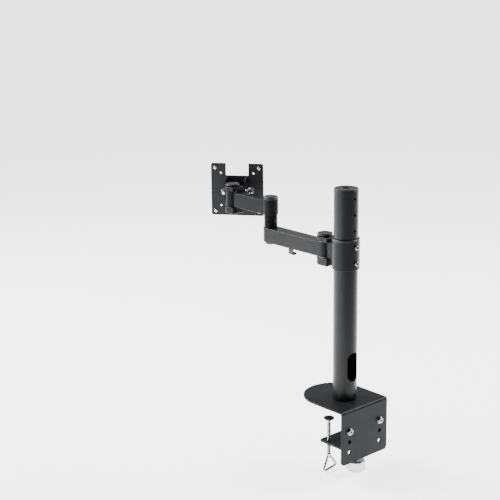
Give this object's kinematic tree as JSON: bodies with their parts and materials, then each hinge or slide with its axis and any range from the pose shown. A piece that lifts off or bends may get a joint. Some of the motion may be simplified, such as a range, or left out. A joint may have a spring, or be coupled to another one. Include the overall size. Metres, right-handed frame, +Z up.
{
  "type": "monitor arm",
  "caption": "Desk-clamp pole with a height-set collar and a two-link folding arm that ends in a swivelling, tilting, rotating screen plate.",
  "frame": {"origin": "pole axis where it meets the plane of the desk's top surface", "axes": "+Z up; +Y over the desk towards its user; +X along the desk's rear edge, to the right seen from behind"},
  "size_m": [0.1496, 0.4965, 0.602],
  "materials": {
    "powder_coated_steel": "satin",
    "coated_casting": "satin",
    "black_plastic": "matte",
    "chrome": "polished",
    "zinc_plated_steel": "satin",
    "black_rubber": "matte",
    "nylon": "satin"
  },
  "bodies": {
    "base": {"desk_plate": "powder_coated_steel", "desk_pad": "black_rubber", "clamp_bracket": "powder_coated_steel", "bracket_bolt_left": "chrome", "bracket_bolt_right": "chrome", "bracket_nut_left": "zinc_plated_steel", "bracket_nut_right": "zinc_plated_steel", "pole": "powder_coated_steel", "pole_foot": "zinc_plated_steel", "pole_foot_screw_1": "zinc_plated_steel", "pole_foot_screw_2": "zinc_plated_steel", "pole_foot_screw_3": "zinc_plated_steel", "pole_cap": "black_plastic"},
    "collar": {"collar": "coated_casting", "collar_liner": "black_plastic", "collar_screw_upper": "chrome", "collar_screw_lower": "chrome", "shoulder_bolt": "zinc_plated_steel", "shoulder_cap": "black_plastic", "shoulder_nut": "zinc_plated_steel", "shoulder_washer_upper": "nylon", "shoulder_washer_lower": "nylon"},
    "lower_arm": {"lower_arm": "coated_casting", "shoulder_bush": "nylon", "lower_cable_clip": "black_plastic", "lower_clip_screw": "zinc_plated_steel", "elbow_bolt": "zinc_plated_steel", "elbow_spacer_lower": "black_plastic", "elbow_spacer_upper": "black_plastic", "elbow_nut": "zinc_plated_steel"},
    "upper_arm": {"upper_arm": "coated_casting", "elbow_bush": "nylon", "elbow_cap": "black_plastic", "upper_cable_clip": "black_plastic", "upper_clip_screw": "zinc_plated_steel", "wrist_bolt": "zinc_plated_steel", "wrist_cap": "black_plastic", "wrist_nut": "zinc_plated_steel"},
    "swivel": {"swivel_block": "coated_casting", "tilt_bolt": "zinc_plated_steel", "tilt_nut": "zinc_plated_steel"},
    "tilt": {"tilt_bracket": "powder_coated_steel", "rotation_bolt": "zinc_plated_steel", "rotation_disc": "nylon", "rotation_nut": "zinc_plated_steel"},
    "screen_plate": {"vesa_plate": "powder_coated_steel", "vesa_screw_1": "chrome", "vesa_screw_2": "chrome", "vesa_screw_3": "chrome", "vesa_screw_4": "chrome"},
    "pad_left": {"clamp_pad_left": "black_plastic"},
    "screw_left": {"clamp_screw_left": "chrome", "clamp_handle_left": "chrome"},
    "pad_right": {"clamp_pad_right": "black_plastic"},
    "screw_right": {"clamp_screw_right": "chrome", "clamp_handle_right": "chrome"},
    "pad_centre": {"clamp_pad_centre": "black_plastic"},
    "screw_centre": {"clamp_screw_centre": "chrome", "clamp_knob": "chrome"}
  },
  "joints": [
    {"name": "collar_height", "type": "slide", "parent": "base", "child": "collar", "axis": [0, 0, 1], "range_m": [0, 0.1005]},
    {"name": "shoulder_turn", "type": "hinge", "parent": "collar", "child": "lower_arm", "pos_m": [0, 0.06, 0.318], "axis": [0, 0, 1], "range_deg": [-95, 95]},
    {"name": "elbow_turn", "type": "hinge", "parent": "lower_arm", "child": "upper_arm", "pos_m": [0, 0.225, 0.378], "axis": [0, 0, 1], "range_deg": [-110, 110]},
    {"name": "head_swivel", "type": "hinge", "parent": "upper_arm", "child": "swivel", "pos_m": [0, 0.35, 0.378], "axis": [0, 0, 1], "range_deg": [-48, 152]},
    {"name": "head_tilt", "type": "hinge", "parent": "swivel", "child": "tilt", "pos_m": [0.026, 0.37032, 0.385], "axis": [0.6157, -0.788, 0], "range_deg": [-15, 15]},
    {"name": "screen_rotation", "type": "hinge", "parent": "tilt", "child": "screen_plate", "pos_m": [0.04318, 0.38374, 0.385], "axis": [0.788, 0.6157, 0], "range_deg": [-90, 90]},
    {"name": "clamp_lift_left", "type": "slide", "parent": "base", "child": "pad_left", "axis": [0, 0, 1], "range_m": [-0.0375, 0.0125]},
    {"name": "clamp_turn_left", "type": "hinge", "parent": "pad_left", "child": "screw_left", "pos_m": [-0.0485, -0.002, -0.08], "axis": [0, 0, 1], "range_deg": [-10802, 3602]},
    {"name": "clamp_lift_right", "type": "slide", "parent": "base", "child": "pad_right", "axis": [0, 0, 1], "range_m": [-0.0375, 0.0125]},
    {"name": "clamp_turn_right", "type": "hinge", "parent": "pad_right", "child": "screw_right", "pos_m": [0.0485, -0.002, -0.08], "axis": [0, 0, 1], "range_deg": [-10802, 3602]},
    {"name": "clamp_lift_centre", "type": "slide", "parent": "base", "child": "pad_centre", "axis": [0, 0, 1], "range_m": [-0.0375, 0.0125]},
    {"name": "clamp_turn_centre", "type": "hinge", "parent": "pad_centre", "child": "screw_centre", "pos_m": [0, -0.033, -0.08], "axis": [0, 0, 1], "range_deg": [-9002, 3002]}
  ],
  "couplings": [
    {"joint": "clamp_turn_left", "follows": "clamp_lift_left", "rad_per_m": 5026.5},
    {"joint": "clamp_turn_right", "follows": "clamp_lift_right", "rad_per_m": 5026.5},
    {"joint": "clamp_turn_centre", "follows": "clamp_lift_centre", "rad_per_m": 4188.8}
  ]
}
